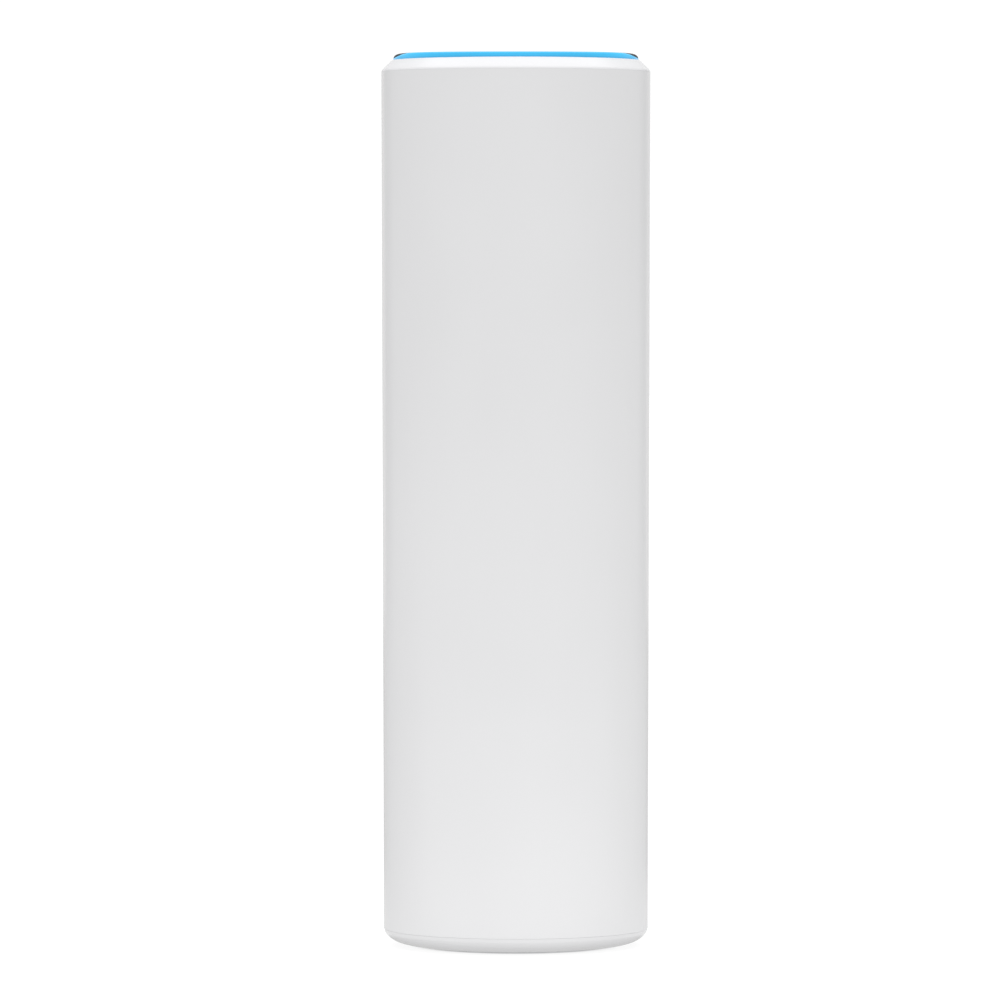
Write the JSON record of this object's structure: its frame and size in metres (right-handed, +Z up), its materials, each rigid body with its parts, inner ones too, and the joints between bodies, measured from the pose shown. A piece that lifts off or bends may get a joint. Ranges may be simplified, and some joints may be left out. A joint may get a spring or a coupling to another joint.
{
  "type": "mesh wifi node",
  "caption": "Slim upright cylindrical mesh wifi node: white sleeve, lit blue ring round a plain top, twist-off base cap over a downward network socket.",
  "frame": {"origin": "centre of the foot ring, on the surface the node stands on", "axes": "+Z up along the cylinder's axis; -Y is the front; +Y is the back, where the cable notch is"},
  "size_m": [0.0484, 0.0484, 0.1602],
  "materials": {
    "shell_white": "satin injection-moulded white plastic, fine even texture",
    "bezel_white": "smooth semi-gloss white plastic",
    "light_blue": "clear-blue diffusing light guide, lit from below",
    "black_plastic": "fine satin black plastic",
    "frame_grey": "matte grey glass-filled plastic",
    "foot_rubber": "matte pale grey silicone",
    "seal_black": "matte black elastomer",
    "board_green": "green solder mask over glass-fibre board",
    "board_white": "white solder mask over glass-fibre board",
    "chip_black": "matte black moulding compound",
    "thermal_pad": "soft blue-grey silicone pad",
    "aluminium": "extruded, lightly brushed",
    "tinned_steel": "bright tinned sheet",
    "screw_steel": "zinc-plated",
    "contact_gold": "gold-plated spring wire",
    "antenna_copper": "thin stamped copper alloy",
    "cable_grey": "extruded jacket",
    "connector_white": "off-white moulded and laminated plastic",
    "ferrite": "sintered dark grey ferrite",
    "led_body": "pale resin"
  },
  "bodies": {
    "housing": {"outer_sleeve": "shell_white", "top_bezel": "bezel_white", "top_disc": "bezel_white", "base_plate": "shell_white", "light_ring": "light_blue", "light_shield": "black_plastic", "top_seal": "seal_black", "base_seal": "seal_black", "led_board": "board_white", "led_connector": "connector_white", "led_ribbon": "connector_white", "led_socket": "connector_white", "ethernet_jack": "black_plastic", "jack_shell": "tinned_steel", "jack_contacts": "contact_gold", "reset_switch": "black_plastic", "inner_frame": "frame_grey", "antenna_carrier": "frame_grey", "main_board": "board_green", "ethernet_transformer": "chip_black", "power_transformer": "ferrite", "inductor": "ferrite", "capacitor_1": "aluminium", "capacitor_2": "aluminium", "shield_can_2g": "tinned_steel", "shield_can_5g": "tinned_steel", "soc_chip": "chip_black", "radio_chip": "chip_black", "thermal_pad_soc": "thermal_pad", "thermal_pad_radio": "thermal_pad", "heat_sink": "aluminium", "led_1": "led_body", "led_2": "led_body", "led_3": "led_body", "led_4": "led_body", "led_5": "led_body", "led_6": "led_body", "base_screw_1": "screw_steel", "heat_sink_screw_1": "screw_steel", "base_screw_2": "screw_steel", "heat_sink_screw_2": "screw_steel", "base_screw_3": "screw_steel", "heat_sink_screw_3": "screw_steel", "antenna_2g_1": "antenna_copper", "coax_2g_1": "cable_grey", "antenna_2g_2": "antenna_copper", "coax_2g_2": "cable_grey", "antenna_5g_1": "antenna_copper", "coax_5g_1": "cable_grey", "antenna_5g_2": "antenna_copper", "coax_5g_2": "cable_grey", "antenna_5g_3": "antenna_copper", "coax_5g_3": "cable_grey", "antenna_5g_4": "antenna_copper", "coax_5g_4": "cable_grey"},
    "base_cap_body": {"base_cap": "shell_white", "foot_ring": "foot_rubber"},
    "reset_body": {"reset_button": "black_plastic", "switch_plunger": "foot_rubber"}
  },
  "joints": [
    {"name": "base_twist", "type": "hinge", "parent": "housing", "child": "base_cap_body", "pos_m": [0, 0, 0], "axis": [0, 0, 1], "range_deg": [0, 30]},
    {"name": "reset_press", "type": "slide", "parent": "housing", "child": "reset_body", "axis": [0, 0, 1], "range_m": [0, 0.0006], "stiffness_N_per_m": 400, "springref_m": -0.002}
  ]
}
